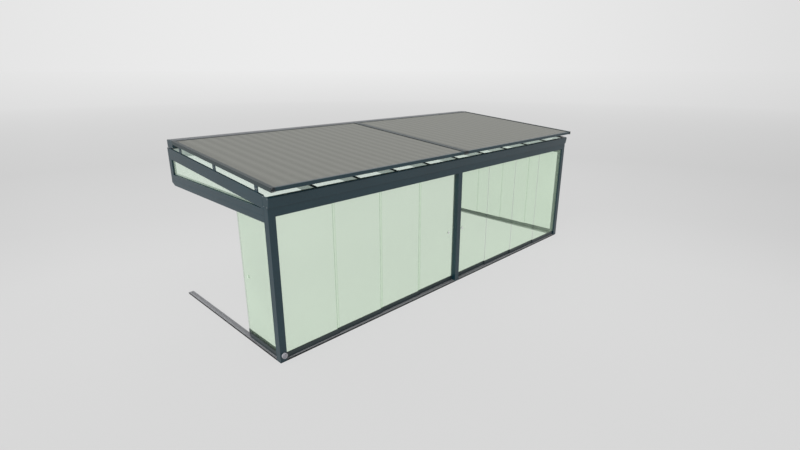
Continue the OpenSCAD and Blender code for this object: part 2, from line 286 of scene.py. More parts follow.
def cloth_paint():
    """Woven screen cloth: a fine basket weave, soft bands along the pull, worn mottling."""
    p = Paint("woven_cloth")
    where = p.place()
    x = p.add("SeparateXYZ", {"Vector": where}).outputs["X"]
    wave = p.math("SINE", p.math("MULTIPLY", x, 2 * math.pi / CLOTH_BAND))
    band = p.ramp(wave, -1, 1)
    warp = p.add(
        "TexWave", {"Vector": where, "Scale": 150, "Distortion": 0.4}, bands_direction="X"
    ).outputs["Fac"]
    weft = p.add(
        "TexWave", {"Vector": where, "Scale": 150, "Distortion": 0.4}, bands_direction="Y"
    ).outputs["Fac"]
    weave = p.math("MAXIMUM", warp, weft)
    mottle = p.noise(where, 14, 4)
    slub = p.noise(p.place((260, 9, 60)), 1.0, 2)
    base = p.mix(band, scaled(CLOTH, 0.90), scaled(CLOTH, 1.10))
    base = p.mix(p.ramp(mottle, 0.35, 0.7, 0, 0.35), base, scaled(CLOTH, 1.12))
    base = p.mix(p.ramp(slub, 0.45, 0.75, 0, 0.30), base, scaled(CLOTH, 0.80))
    base = p.mix(p.ramp(weave, 0.2, 0.9, 0.22, 0.0), base, scaled(CLOTH, 0.55))
    shader = p.add(
        "BsdfPrincipled",
        {
            "Base Color": base,
            "Roughness": p.ramp(mottle, 0.3, 0.7, 0.82, 0.92),
            "Specular IOR Level": 0.2,
            "Sheen Weight": 0.12,
            "Sheen Roughness": 0.5,
            "Normal": p.bump(weave, 0.35, 0.0004, p.bump(slub, 0.2, 0.0005)),
        },
    )
    return p.surface(shader)


ANTHRACITE = (0.0055, 0.0310, 0.0440, 1)
RAIL_GREY = (0.0150, 0.0290, 0.0330, 1)
CLOTH = srgb(129, 130, 124)
CLOTH_BAND = 0.1995

coat = powder_coat("anthracite_powder_coat", ANTHRACITE)
coat_rail = powder_coat("anthracite_rail_coat", RAIL_GREY, 0.38)
steel = brushed("stainless_steel", srgb(196, 198, 200), (900, 900, 40), 0.9, 0.32)
track_metal_x = brushed("track_aluminium_x", srgb(154, 155, 159), (4, 700, 700), 0.35)
track_metal_y = brushed("track_aluminium_y", srgb(154, 155, 159), (700, 4, 700), 0.35)
rubber = moulded("gasket_rubber", (0.010, 0.011, 0.012, 1), 0.7)
end_cap = moulded("cap_plastic", (0.018, 0.024, 0.028, 1), 0.55, 300)
drain_grey = moulded("drain_plastic", srgb(156, 155, 162), 0.45, 260, 0.25)
drain_rim = moulded("drain_rim_plastic", srgb(186, 186, 192), 0.4, 260, 0.25)
gasket = moulded("gable_gasket", scaled(ANTHRACITE, 1.3), 0.6)
pull_metal = brushed("pull_aluminium", srgb(246, 247, 247), (40, 900, 900), 0.0, 0.38)
# Light grey coat: on the cassette's upward faces a painted highlight; also the colour of the middle
# rail's insert strip.
grey_coat_and_top_highlight = powder_coat("light_grey_coat_and_top_highlight", srgb(112, 115, 118), 0.5, 0.3)
# The last number of a pane's window() is the glow of its painted sky reflection, strongest on the
# roof.
roof_pane = window(
    "roof_glass", (0.960, 1.0, 0.970, 1), srgb(222, 236, 228), 0.04, 0.78, 0.66
)
gable_pane = window(
    "gable_glass", (0.965, 1.0, 0.970, 1), srgb(202, 220, 203), 0.18, 0.9, 0.08
)
FRONT_HAZE = srgb(212, 230, 208)
front_pane = window("front_glass", (0.924, 0.990, 0.916, 1), FRONT_HAZE, 0.035, 0.95, 0.25)
front_lap = window("front_glass_lap", (0.960, 0.9935, 0.955, 1), FRONT_HAZE, 0.018, 0.48, 0.25)
side_pane = window("side_glass", (0.984, 0.999, 0.982, 1), srgb(205, 226, 205), 0.006, 0.2)
glass_edge = window("ground_glass_edge", (0.92, 0.94, 0.92, 1), srgb(165, 182, 166), 0.12, 0.3)
cloth = cloth_paint()

# ------------------------------------------------------------------ mesh tools
SHARP = math.radians(28)


def loft(bm, rings, mat=0, ends=None):
    """Skins a row of rings and closes both ends."""
    rows = [[bm.verts.new(point) for point in ring] for ring in rings]
    for near, far in zip(rows, rows[1:]):
        for i in range(len(near)):
            j = (i + 1) % len(near)
            bm.faces.new((near[i], near[j], far[j], far[i])).material_index = mat
    for row in (rows[0][::-1], rows[-1]):
        bm.faces.new(row).material_index = mat if ends is None else ends


def along_x(bm, outline, x0, x1, mat=0):
    """outline holds (y, z)."""
    loft(bm, [[at(x, y, z) for y, z in outline] for x in (x0, x1)], mat)


def along_y(bm, outline, y0, y1):
    """outline holds (x, z)."""
    loft(bm, [[at(x, y, z) for x, z in outline] for y in (y0, y1)])


def along_z(bm, outline, heights):
    """outline holds (x, y); heights are (z, inset) pairs around its middle."""
    cx = sum(x for x, _ in outline) / len(outline)
    cy = sum(y for _, y in outline) / len(outline)
    sign = lambda v: (v > 0) - (v < 0)
    loft(
        bm,
        [
            [at(x - sign(x - cx) * inset, y - sign(y - cy) * inset, z) for x, y in outline]
            for z, inset in heights
        ],
    )


def along_roof(bm, outline, y0, y1):
    """outline holds (x, height over the roof's surface)."""
    loft(bm, [[at(x, y, roof(y) + v) for x, v in outline] for y in (y0, y1)])


def box_outline(u0, v0, u1, v1):
    return [(u0, v0), (u1, v0), (u1, v1), (u0, v1)]


def block(bm, a, b):
    along_x(bm, box_outline(a[1], a[2], b[1], b[2]), a[0], b[0])


def turned(bm, profile, centre, axis, steps=20, mat=0):
    """Revolves (radius, height) pairs about an axis through centre, from the layout."""
    axis = Vector(axis).normalized()
    side = axis.orthogonal().normalized()
    other = axis.cross(side)
    middle = at(*centre)
    rows = []
    for radius, height in profile:
        c = middle + axis * (height * MM)
        if radius == 0:
            rows.append([bm.verts.new(c)])
            continue
        turn = [2 * math.pi * i / steps for i in range(steps)]
        rows.append(
            [
                bm.verts.new(c + (side * math.cos(t) + other * math.sin(t)) * radius * MM)
                for t in turn
            ]
        )
    for near, far in zip(rows, rows[1:]):
        for i in range(steps):
            j = (i + 1) % steps
            if len(near) == 1:
                corners = (near[0], far[j], far[i])
            elif len(far) == 1:
                corners = (near[i], near[j], far[0])
            else:
                corners = (near[i], near[j], far[j], far[i])
            bm.faces.new(corners).material_index = mat


def screw(bm, centre, axis, r=5.0, h=1.4):
    """A domed screw head of radius r and height h with a socket; its seat lies at centre."""
    dome = [(0, -0.4), (r, -0.4), (r, h * 0.35), (r * 0.8, h)]
    socket = [(r * 0.42, h), (r * 0.36, h * 0.3), (0, h * 0.3)]
    turned(bm, dome + socket, centre, axis, 14)


def hex_bolt(bm, centre, axis, r=8.0, h=6.0):
    """A hexagon head of radius r and height h on its washer."""
    washer = [(0, 0), (r * 1.45, 0), (r * 1.45, 1.4), (0, 1.4)]
    head = [(0, 1.2), (r, 1.2), (r, h - 1), (r * 0.86, h), (0, h)]
    turned(bm, washer, centre, axis, 20)
    turned(bm, head, centre, axis, 6)


def arc(cu, cv, r, a0, a1, steps):
    """Points of an arc in an outline, in degrees."""
    turn = [math.radians(a0 + (a1 - a0) * i / steps) for i in range(steps + 1)]
    return [(cu + r * math.cos(t), cv + r * math.sin(t)) for t in turn]


def copied(node):
    """A CAD node's mesh with its flat faces whole again."""
    bm = bmesh.new()
    bm.from_mesh(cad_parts[node].data)
    bmesh.ops.remove_doubles(bm, verts=bm.verts, dist=1e-5)
    bmesh.ops.dissolve_limit(
        bm, angle_limit=math.radians(0.5), verts=bm.verts, edges=bm.edges
    )
    for face in bm.faces:
        face.material_index = 0
    return bm


def piece(name, bm, materials, body="frame", stands_for=(), bevel=0.0):
    """Finishes a mesh: rounded edges, shading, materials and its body."""
    edge = bm.faces.layers.float.new("edge")
    bmesh.ops.recalc_face_normals(bm, faces=bm.faces)
    if bevel:
        sharp = [
            e
            for e in bm.edges
            if len(e.link_faces) == 2 and e.calc_face_angle(0.0) > SHARP
        ]
        made = bmesh.ops.bevel(
            bm,
            geom=sharp,
            offset=bevel * MM,
            offset_type="OFFSET",
            segments=2,
            profile=0.5,
            affect="EDGES",
            clamp_overlap=True,
        )
        # flag the bevel faces, which the materials paint lighter as a painted highlight
        for face in made["faces"]:
            face[edge] = 1.0
    mesh = bpy.data.meshes.new(name)
    bm.to_mesh(mesh)
    bm.free()
    for material in materials:
        mesh.materials.append(material)
    mesh.shade_smooth()
    mesh.set_sharp_from_angle(angle=SHARP)
    obj = bpy.data.objects.new(name, mesh)
    bpy.context.scene.collection.objects.link(obj)
    weighted = obj.modifiers.new("Weighted normals", "WEIGHTED_NORMAL")
    weighted.keep_sharp = True
    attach(obj, body)
    if stands_for:
        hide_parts(*stands_for)
    return obj


# ------------------------------------------------------------------ posts, gutter and tracks
def build_posts():
    shoe = 14.0
    for side in ("left", "middle", "right"):
        (x0, y0, z0), (x1, y1, z1) = span("post_" + side)
        bm = bmesh.new()
        g0, g1, d = y1 - 17, y1 - 14.5, 2.0  # the joint of the clipped-in back lid
        outline = [
            (x0, y0), (x1, y0), (x1, g0), (x1 - d, g0), (x1 - d, g1), (x1, g1), (x1, y1),
            (x0, y1), (x0, g1), (x0 + d, g1), (x0 + d, g0), (x0, g0),
        ]
        along_z(bm, outline, [(z0, 0), (z0 + shoe, 0)])
        along_z(bm, outline, [(z0 + shoe, 2.2), (z0 + shoe + 2.5, 2.2)])
        along_z(bm, outline, [(z0 + shoe + 2.5, 0), (z1, 0)])
        piece(f"post_{side}_column", bm, [coat],
              stands_for=["post_" + side], bevel=1.6)


def build_gutter():
    foot, lean, r = 15.0, 19.0, 26.0
    front = roof(0)
    chamber, wall = 38.0 - foot, 6.0
    back = POST - wall
    face = arc(-foot - lean + r, front - r, r, 180, 90, 14)
    trough = (
        [(chamber, front)]
        + arc(chamber + 12, BEAM_Z + wall + 12, 12, 180, 270, 4)
        + arc(back - 12, BEAM_Z + wall + 12, 12, 270, 360, 4)
        + [(back, roof(back) + SEAT), (POST, roof(POST) + SEAT), (POST, BEAM_Z)]
    )
    bm = bmesh.new()
    lip = [(chamber - u, front - v) for u, v in ((6, 0), (6, 2.2), (3.5, 2.2), (3.5, 0))]
    along_x(bm, [(-foot, BEAM_Z)] + face + lip + trough, 5 - HALF, HALF - 5)
    piece("gutter_profile", bm, [coat], stands_for=["gutter"], bevel=1.2)

    outline = [(-foot, BEAM_Z)] + face + [(0, roof(0)), (POST, roof(POST)), (POST, BEAM_Z)]
    bm, screws = bmesh.new(), bmesh.new()
    spots = [(14, BEAM_Z + 9), (96, BEAM_Z + 9), (-8, front - 22), (96, roof(96) - 14)]
    for side in (-1, 1):
        along_x(bm, outline, side * (HALF - 1.4), side * (HALF - 5))
        for y, z in spots:
            screw(screws, (side * (HALF - 1.4), y, z), (side, 0, 0), 5.5, 1.4)
    piece("gutter_end_plates", bm, [coat],
          stands_for=["gutter_caps"], bevel=1.0)
    piece("gutter_end_screws", screws, [steel])


def build_top_tracks():
    for name in ("front_track_left", "front_track_right", "side_track_left", "side_track_right"):
        piece(name + "_profile", copied(name), [coat],
              stands_for=[name], bevel=0.9)
        # brush seals along the mouths of the channels
        (x0, y0, z0), (x1, y1, _) = span(name)
        bm = bmesh.new()
        for k in range(1, PANELS + 1):
            for s in (-1, 1):
                near, far = sorted((lane(k) + s * 6.2, lane(k) + s * 4.4))
                if name.startswith("front"):
                    block(bm, (x0 + 2, near, z0 + 2), (x1 - 2, far, z0 + 8))
                else:
                    q = -1 if name.endswith("left") else 1
                    a, b = sorted((q * (HALF - near), q * (HALF - far)))
                    block(bm, (a, y0 + 2, z0 + 2), (b, y1 - 108, z0 + 8))
        piece(name + "_brushes", bm, [rubber])


def build_headers():
    for side, s in (("left", -1), ("right", 1)):
        name = "side_header_" + side
        (x0, y0, z0), (x1, y1, z1) = span(name)
        outer, inner = (x0, x1) if s < 0 else (x1, x0)
        q = -s
        # a shadow line near the foot of the outer face
        outline = [
            (outer, z0), (inner, z0), (inner, z1), (outer, z1),
            (outer, z0 + 12), (outer + q * 2, z0 + 12), (outer + q * 2, z0 + 9.6),
            (outer, z0 + 9.6),
        ]
        bm = bmesh.new()
        along_y(bm, outline, y0 + 0.4, y1)
        piece(name + "_profile", bm, [coat], stands_for=[name], bevel=1.4)
    piece("gable_uprights", copied("gable_posts"), [coat],
          stands_for=["gable_posts"], bevel=1.4)


# ------------------------------------------------------------------ roof
def build_rafters():
    w, h = RAFTER, RAFTER_H
    for side, s in (("left", 1), ("right", -1)):
        x = lambda u: s * (u - HALF)
        outline = [
            (x(0), -h), (x(w), -h), (x(w), SEAT - 16), (x(w - 4), SEAT - 16), (x(w - 4), SEAT - 10),
            (x(w), SEAT - 10), (x(w), SEAT), (x(30), SEAT), (x(30), 0), (x(0), 0),
        ]
        bm = bmesh.new()
        along_roof(bm, outline, POST, DEPTH)
        piece(f"rafter_{side}_profile", bm, [coat],
              stands_for=["rafter_" + side], bevel=1.4)
    bm = bmesh.new()
    for i in range(1, FIELDS):
        x0 = i * FIELD - HALF
        u = lambda v: x0 + v
        top, foot = SEAT, SEAT - 105
        outline = [
            (u(0), foot), (u(25), foot), (u(25), foot + 4), (u(35), foot + 4),
            (u(35), foot), (u(60), foot), (u(60), top - 16), (u(56), top - 16),
            (u(56), top - 10), (u(60), top - 10), (u(60), top), (u(0), top),
            (u(0), top - 10), (u(4), top - 10), (u(4), top - 16), (u(0), top - 16),
        ]
        along_roof(bm, outline, POST, DEPTH - 60)
    piece("inner_rafter_profiles", bm, [coat],
          stands_for=["inner_rafters"], bevel=1.2)

    bm = bmesh.new()
    back, y0 = DEPTH, DEPTH - 60
    z0 = roof(DEPTH) - 184
    rib = [(back, z0 + 30), (back - 3, z0 + 34), (back - 3, z0 + 74), (back, z0 + 78)]
    rib += [(back, z0 + 104), (back - 3, z0 + 108), (back - 3, z0 + 148), (back, z0 + 152)]
    outline = [(y0, z0), (back, z0)] + rib + [
        (back, roof(back)), (back - 10, roof(back)), (back - 10, roof(back - 10) + SEAT),
        (y0, roof(y0) + SEAT), (y0, z0 + 40), (y0 + 2.4, z0 + 38.5),
        (y0 + 2.4, z0 + 37), (y0, z0 + 35.5),
    ]
    along_x(bm, outline, RAFTER - HALF, HALF - RAFTER)
    piece("wall_profile_beam", bm, [coat],
          stands_for=["wall_profile"], bevel=1.2)
    bm = bmesh.new()
    for i in range(FIELDS):
        x = RAFTER / 2 - HALF + (i + 0.5) * FIELD
        for dx in (-200, 200):
            hex_bolt(bm, (x + dx, y0, z0 + 18), (0, -1, 0), 8, 6)
    piece("wall_anchors", bm, [steel])


def build_roof_glass():
    edge = 30 - RAFTER / 2 + 2.0
    y0, y1 = GLASS_FRONT, GLASS_BACK
    glass, strips, lips, screws, wedges, stops = (bmesh.new() for _ in range(6))
    low, high = SEAT + 0.3, -UPSTAND
    for i in range(FIELDS):
        near = edge if i == 0 else 8.0
        far = edge if i == FIELDS - 1 else 8.0
        x0 = RAFTER / 2 - HALF + i * FIELD + near
        x1 = RAFTER / 2 - HALF + (i + 1) * FIELD - far
        along_roof(glass, box_outline(x0, low, x1, high), y0, y1)
        for a, b in ((x0 - near + 26, x0 - near + 54), (x1 + far - 54, x1 + far - 26)):
            along_roof(stops, box_outline(a, low - 4, b, low - 0.2), y0 + 4, y0 + 34)
    bmesh.ops.recalc_face_normals(glass, faces=glass.faces)
    for face in glass.faces:
        if abs(face.normal.z) < 0.5:
            face.material_index = 1
    piece("roof_panes", glass, [roof_pane, glass_edge],
          stands_for=["roof_glass"], bevel=0.8)
    piece("pane_setting_blocks", stops, [rubber], bevel=0.6)

    for i in range(1, FIELDS):
        x = i * FIELD - HALF + RAFTER / 2
        v = -UPSTAND + 0.3
        outline = [
            (x - 27, v + 1.6), (x + 27, v + 1.6), (x + 27, v + 4), (x + 17, v + 11),
            (x + 5, v + 14.7), (x + 3.5, v + 13.2), (x - 3.5, v + 13.2), (x - 5, v + 14.7),
            (x - 17, v + 11), (x - 27, v + 4),
        ]
        along_roof(strips, outline, y0 + 3, y1)
        along_roof(strips, box_outline(x - 30, v, x + 30, v + 14.5), y0, y0 + 3)
        for s in (-1, 1):
            a, b = sorted((x + s * 23, x + s * 30))
            along_roof(lips, [(a, v), (b, v), (b, v + 1.2), (a, v + 3)], y0 + 3, y1)
        for n in range(8):
            y = y0 + 40 + n * 410
            screw(screws, (x, y, roof(y) + v + 13.2), (0, -SLOPE, 1), 3.2, 1.0)
    piece("cover_strip_profiles", strips, [coat],
          stands_for=["cover_strips"], bevel=0.8)
    piece("cover_strip_lips", lips, [rubber])
    piece("cover_strip_screws", screws, [steel])

    for s in (-1, 1):
        a, b = sorted((s * (HALF - 30.2), s * (HALF - 41)))
        along_roof(wedges, box_outline(a, -UPSTAND + 0.1, b, -UPSTAND + 4), y0, y1)
    along_x(wedges, [(y1 - 7, roof(y1) - UPSTAND + 0.1), (y1 - 0.2, roof(y1) - UPSTAND + 0.1),
                     (y1 - 0.2, roof(y1) - UPSTAND + 6)], 42 - HALF, HALF - 42)
    piece("glazing_wedges", wedges, [rubber], bevel=0.8)


def build_gables():
    (_, y0, z0), (_, y1, _) = span("gable_glass")
    glass, frames = bmesh.new(), bmesh.new()
    top = -RAFTER_H - 0.3
    for s in (-1, 1):
        xa, xb = sorted((s * (HALF - 26), s * (HALF - 34)))
        ring = [(y0, z0), (y1, z0), (y1, roof(y1) + top), (y0, roof(y0) + top)]
        along_x(glass, ring, xa, xb)
        for xo in (s * (HALF - 22.5), s * (HALF - 34.3)):
            xi = xo - s * 3.2
            a, b = sorted((xo, xi))
            w = 5
            along_x(frames, box_outline(y0, z0 + 0.1, y1, z0 + w), a, b)
            along_x(frames, [(y0, roof(y0) + top - w), (y1, roof(y1) + top - w),
                             (y1, roof(y1) + top - 0.1), (y0, roof(y0) + top - 0.1)], a, b)
            along_x(frames, box_outline(y1 - w, z0 + w, y1 - 0.1, roof(y1 - w) + top - w), a, b)
    piece("gable_panes", glass, [gable_pane], stands_for=["gable_glass"], bevel=0.6)
    piece("gable_gaskets", frames, [gasket], bevel=0.5)


# ------------------------------------------------------------------ awning
def rail_outline(x_outer, s):
    """A guide rail: x_outer is its outer side and s points towards the cloth."""
    u = lambda v: x_outer + s * v
    lo, hi = LIFT, LIFT + RAIL_H
    c = CLOTH_SLOT
    return [
        (u(0), lo), (u(60), lo), (u(60), c - 5), (u(46), c - 5), (u(46), c + 4.5), (u(60), c + 4.5),
        (u(60), hi), (u(24), hi), (u(24), hi - 1.8), (u(21), hi - 1.8), (u(21), hi),
        (u(0), hi), (u(0), lo + 26), (u(1.8), lo + 24.5), (u(1.8), lo + 22.5), (u(0), lo + 21),
    ]


def build_awning():
    (_, y_front, _), (_, y_back, _) = span("guide_rail_left")
    caps, screws = bmesh.new(), bmesh.new()

    def cap(x0, x1, holes):
        y = y_front + 1.2
        outline = box_outline(x0 + 0.6, LIFT + 0.6, x1 - 0.6, LIFT + RAIL_H - 0.6)
        loft(caps, [[at(x, yy, roof(y_front) + v) for x, v in outline] for yy in (y, y + 3)])
        for x, v in holes:
            screw(screws, (x, y, roof(y_front) + v), (0, -1, 0), 5.0, 1.2)

    for side, s in (("left", 1), ("right", -1)):
        bm = bmesh.new()
        x = -s * (HALF - 8)
        along_roof(bm, rail_outline(x, s), y_front + 4.2, y_back)
        piece(f"guide_rail_{side}_profile", bm, [coat_rail],
              stands_for=["guide_rail_" + side], bevel=1.2)
        a, b = sorted((x, x + s * RAIL_W))
        cap(a, b, [(x + s * 14, LIFT + 12), (x + s * 46, LIFT + 12), (x + s * 14, LIFT + 50)])
    bm = bmesh.new()
    for s in (-1, 1):
        lo, hi = LIFT, LIFT + RAIL_H
        c = CLOTH_SLOT
        outline = [
            (0, lo), (s * 60, lo), (s * 60, c - 5), (s * 46, c - 5), (s * 46, c + 4.5),
            (s * 60, c + 4.5), (s * 60, hi), (s * 5, hi), (s * 5, hi - 12), (0, hi - 12),
        ]
        along_roof(bm, outline, y_front + 4.2, y_back)
        cap(*sorted((s * 0.6, s * 60)), [(s * 14, LIFT + 12), (s * 46, LIFT + 12)])
    piece("guide_rail_middle_profile", bm, [coat_rail],
          stands_for=["guide_rail_middle"], bevel=1.2)
    bm = bmesh.new()
    top = LIFT + RAIL_H
    along_roof(bm, [(-4.4, top - 12), (4.4, top - 12), (4.4, top - 3), (2.5, top - 1.5),
                    (-2.5, top - 1.5), (-4.4, top - 3)], y_front + 6, y_back)
    piece("guide_rail_insert", bm, [grey_coat_and_top_highlight], bevel=0.5)
    piece("guide_rail_caps", caps, [end_cap], bevel=0.8)
    piece("guide_rail_screws", screws, [steel])

    # front bars
    for side, s in (("left", -1), ("right", 1)):
        (x0, y0, z0), (x1, y1, z1) = span("front_bar_" + side)
        outline = (
            [(y0 + 14, z0), (y1, z0), (y1, z1 - 12), (y1 - 9, z1 - 12), (y1 - 9, z1 - 5.5)]
            + [(y1, z1 - 5.5), (y1, z1)]
            + arc(y0 + 9, z1 - 9, 9, 90, 180, 6)
            + [(y0, z0 + 22), (y0 + 2, z0 + 21), (y0 + 2, z0 + 18.5), (y0, z0 + 17.5)]
            + [(y0, z0 + 14)]
            + arc(y0 + 14, z0 + 14, 14, 180, 270, 6)[1:-1]
        )
        bm = bmesh.new()
        along_x(bm, outline, x0 + 3.5, x1 - 3.5)
        for a, b in ((x0 + 0.5, x0 + 3.5), (x1 - 3.5, x1 - 0.5)):
            along_x(bm, box_outline(y0 + 4, z0 + 4, y1 - 2, z1 - 3), a, b, 1)
        piece(f"front_bar_{side}_profile", bm, [coat, end_cap],
              stands_for=["front_bar_" + side], bevel=0.9)

    # cassette in two halves, with end plates
    (x0, y0, z0), (x1, y1, z1) = span("awning_cassette")
    r = 22.0
    slot = roof(y0) + CLOTH_SLOT
    lift = math.degrees(math.asin((slot + 5.5 - (z1 - r)) / r))
    outline = (
        [(y1, z0), (y0, z0), (y0, z0 + 40), (y0 + 2.2, z0 + 41.5), (y0 + 2.2, z0 + 43.5)]
        + [(y0, z0 + 45), (y0, slot - 5), (y0 + 22, slot - 5), (y0 + 22, slot + 5.5)]
        + arc(y0 + r, z1 - r, r, 180 - lift, 90, 8)
        + [(y0 + 90, z1), (y0 + 90, z1 - 2.2), (y0 + 93, z1 - 2.2), (y0 + 93, z1)]
        + arc(y1 - r, z1 - r, r, 90, 0, 8)
        + [(y1, z0 + 60), (y1 - 3, z0 + 57), (y1 - 3, z0 + 27), (y1, z0 + 24)]
    )
    bm = bmesh.new()
    along_x(bm, outline, x0 + 4.5, -0.8)
    along_x(bm, outline, 0.8, x1 - 4.5)
    inner = box_outline(y0 + 26, z0 + 4, y1 - 6, z1 - 26)
    along_x(bm, inner, -30, 30)
    bmesh.ops.recalc_face_normals(bm, faces=bm.faces)
    # The upward faces above the slot get the light grey: a painted highlight, the sky's reflection
    # on the dark top.
    for face in bm.faces:
        if face.normal.z > 0.05 and face.calc_center_median().z > FLOOR_Z + (slot + 6) * MM:
            face.material_index = 1
    piece("cassette_shell", bm, [coat, grey_coat_and_top_highlight],
          stands_for=["awning_cassette"], bevel=1.0)
    plate = (
        [(y1, z0), (y0, z0)] + arc(y0 + r, z1 - r, r, 180, 90, 8) + arc(y1 - r, z1 - r, r, 90, 0, 8)
    )
    bm, screws = bmesh.new(), bmesh.new()
    for s, x in ((-1, x0), (1, x1)):
        along_x(bm, plate, *sorted((x - s * 1.3, x - s * 4.5)))
        low_pair = [(y0 + 18, z0 + 16), (y1 - 18, z0 + 16)]
        high_pair = [(y0 + 40, z1 - 18), (y1 - 40, z1 - 18)]
        for y, z in low_pair + high_pair:
            screw(screws, (x - s * 1.3, y, z), (s, 0, 0), 5.0, 1.3)
    piece("cassette_end_plates", bm, [coat], bevel=1.0)
    piece("cassette_screws", screws, [steel])
    build_cloth(y_back)


def build_cloth(y_back):
    bar_back = span("front_bar_left")[1][1]
    columns, rows = 240, 24
    thick = 1.1
    for side in ("left", "right"):
        (x0, _, _), (x1, _, _) = span("awning_cloth_" + side)
        xa, xb = x0 - 9, x1 + 9
        ya, yb = bar_back - 7, y_back + 16

        def height(x, y):
            across = (x - x0) / (x1 - x0)
            along = (y - ya) / (yb - ya)
            sag = 5.0 * max(0.0, 4 * across * (1 - across)) * math.sin(math.pi * along) ** 0.7
            ripple = 0.9 * math.sin(2 * math.pi * x * MM / CLOTH_BAND)
            fade = min(1.0, 12 * across, 12 * (1 - across)) if 0 < across < 1 else 0.0
            ripple *= fade * min(1, 20 * along, 20 * (1 - along) + 0.2)
            return roof(y) + CLOTH_Z - 1.2 - sag + ripple

        def layer(drop):
            """Rows of vertices of the cloth's upper face, or of its lower face at drop."""
            xs = [xa + (xb - xa) * i / columns for i in range(columns + 1)]
            ys = [ya + (yb - ya) * j / rows for j in range(rows + 1)]
            return [[bm.verts.new(at(x, y, height(x, y) - drop)) for x in xs] for y in ys]

        bm = bmesh.new()
        top, bottom = layer(0.0), layer(thick)
        for j in range(rows):
            for i in range(columns):
                bm.faces.new((top[j][i], top[j][i + 1], top[j + 1][i + 1], top[j + 1][i]))
                under = (bottom[j + 1][i], bottom[j + 1][i + 1], bottom[j][i + 1], bottom[j][i])
                bm.faces.new(under)
        for i in range(columns):
            for j in (0, rows):
                bm.faces.new((top[j][i], top[j][i + 1], bottom[j][i + 1], bottom[j][i]))
        for j in range(rows):
            for i in (0, columns):
                bm.faces.new((top[j][i], top[j + 1][i], bottom[j + 1][i], bottom[j][i]))
        sheet = piece("cloth_field_" + side, bm, [cloth],
                      stands_for=["awning_cloth_" + side])

        # welts in the rails' slots
        bm = bmesh.new()
        for x in (x0 - 9, x1 + 9):
            ring = arc(x, CLOTH_Z - 1.75, 3.0, 0, 315, 7)
            along_roof(bm, ring, ya + 10, yb - 4)
        welts = piece("cloth_welts_" + side, bm, [rubber])


def build_brackets():
    y_back = span("guide_rail_left")[1][1]
    last = y_back - 290
    bm, bolts = bmesh.new(), bmesh.new()
    rows = [(-HALF + 8, 20, 0.3), (-20.0, 40, -UPSTAND + 15.3), (HALF - 28, 20, 0.3)]
    for x0, t, low in rows:
        x1, cx = x0 + t, x0 + t / 2
        web = t * 0.3

        def section(lo, hi):
            f = 6
            return [
                (x0, lo), (x1, lo), (x1, lo + f), (cx + web, lo + f),
                (cx + web, hi - f), (x1, hi - f), (x1, hi), (x0, hi),
                (x0, hi - f), (cx - web, hi - f), (cx - web, lo + f), (x0, lo + f),
            ]

        for i in range(3):
            y = 265 + i * (last - 265) / 2
            along_roof(bm, section(low, LIFT - 0.3), y - 31, y + 48)
            for dy in (-16, 16):
                for s in (-1, 1):
                    zz = roof(y + dy) + (low + LIFT) / 2
                    head = min(3.6, t / 2 - web)
                    hex_bolt(bolts, (cx + s * web, y + dy, zz), (s, 0, 0), 4.0, head)
        y = DEPTH - 10 - 215 / 2
        under = span("awning_cassette")[0][2]
        rings = []
        for yy in (y - 31, y + 31):
            rings.append([at(x, yy, z) for x, z in section(roof(yy) + low, under)])
        loft(bm, rings)
    piece("rail_brackets", bm, [coat],
          stands_for=["awning_brackets"], bevel=0.9)
    piece("bracket_bolts", bolts, [steel])


# ------------------------------------------------------------------ floor tracks and drain
def floor_outline():
    """(distance from the outer face, height) of a floor track."""
    h = span("floor_track_left")[1][2]
    points = [(0, 0), (0, h - 6), (2.5, h - 1.2), (5.5, h), (9, h), (10.5, h - 2.6)]
    points += [(24, h - 2.6), (26, h)]
    for k in range(1, PANELS):
        g = lane(k) + LANE_PITCH / 2
        points += [(g - 2, h), (g - 2, h - 7), (g + 2, h - 7), (g + 2, h)]
    return points + [(TRACK_W - 2, h), (TRACK_W, h - 2), (TRACK_W, 0)]


FLANK_H = 21.2


def darken_sides_with_painted_shade(bm, inwards):
    """Gives the black material to a floor track's ends, outer flank and outer chamfer: its dark
    coat, made black as painted shade at the floor. inwards is the direction from the outer flank to
    the middle of the room."""
    bmesh.ops.recalc_face_normals(bm, faces=bm.faces)
    for face in bm.faces:
        # painted shade: the low outer faces, the ends and the chamfer go black
        low = face.calc_center_median().z < FLOOR_Z + FLANK_H * MM and face.normal.z < 0.25
        chamfer = 0.3 < face.normal.z < 0.6
        if (low or chamfer) and face.normal.dot(Vector(inwards)) < 0.5:
            face.material_index = 1


